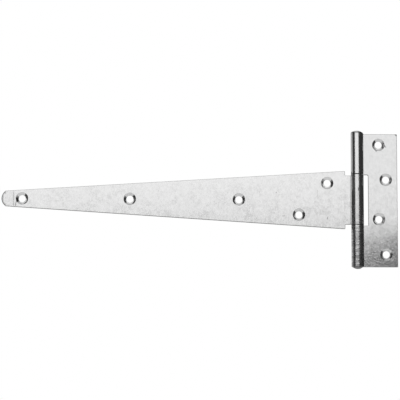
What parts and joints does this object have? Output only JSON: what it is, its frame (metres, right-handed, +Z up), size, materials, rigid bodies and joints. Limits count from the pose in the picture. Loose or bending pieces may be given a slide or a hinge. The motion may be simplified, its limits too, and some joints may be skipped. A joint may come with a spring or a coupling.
{
  "type": "tee hinge",
  "caption": "Light tee hinge of zinc-plated sheet steel: a long tapered strap with a rolled knuckle swings on a riveted pin in a short cross leaf; screw holes are countersunk.",
  "frame": {"origin": "on the cross leaf's mounting face, at mid-height and in the middle of its four screw holes", "axes": "+Z up along the hinge pin, towards its round head; +Y out of the mounting faces, towards what the hinge is screwed to; the strap runs towards -X and the barrel and countersinks are on the -Y side"},
  "size_m": [0.3344, 0.0107, 0.1173],
  "materials": {
    "zinc_plated_strap": "bright zinc plate over cold-rolled steel sheet, faintly mottled",
    "zinc_plated_flange": "bright zinc plate over cold-rolled steel sheet, faintly mottled",
    "zinc_plated_pin": "bright zinc plate over drawn steel wire, hammered at the rivet end"
  },
  "bodies": {
    "flange": {"flange_leaf": "zinc_plated_flange", "hinge_pin": "zinc_plated_pin"},
    "strap": {"strap_leaf": "zinc_plated_strap"}
  },
  "joints": [
    {"name": "strap_swing", "type": "hinge", "parent": "flange", "child": "strap", "pos_m": [-0.0215, -0.00535, 0], "axis": [0, 0, 1], "range_deg": [-119, 190]}
  ]
}
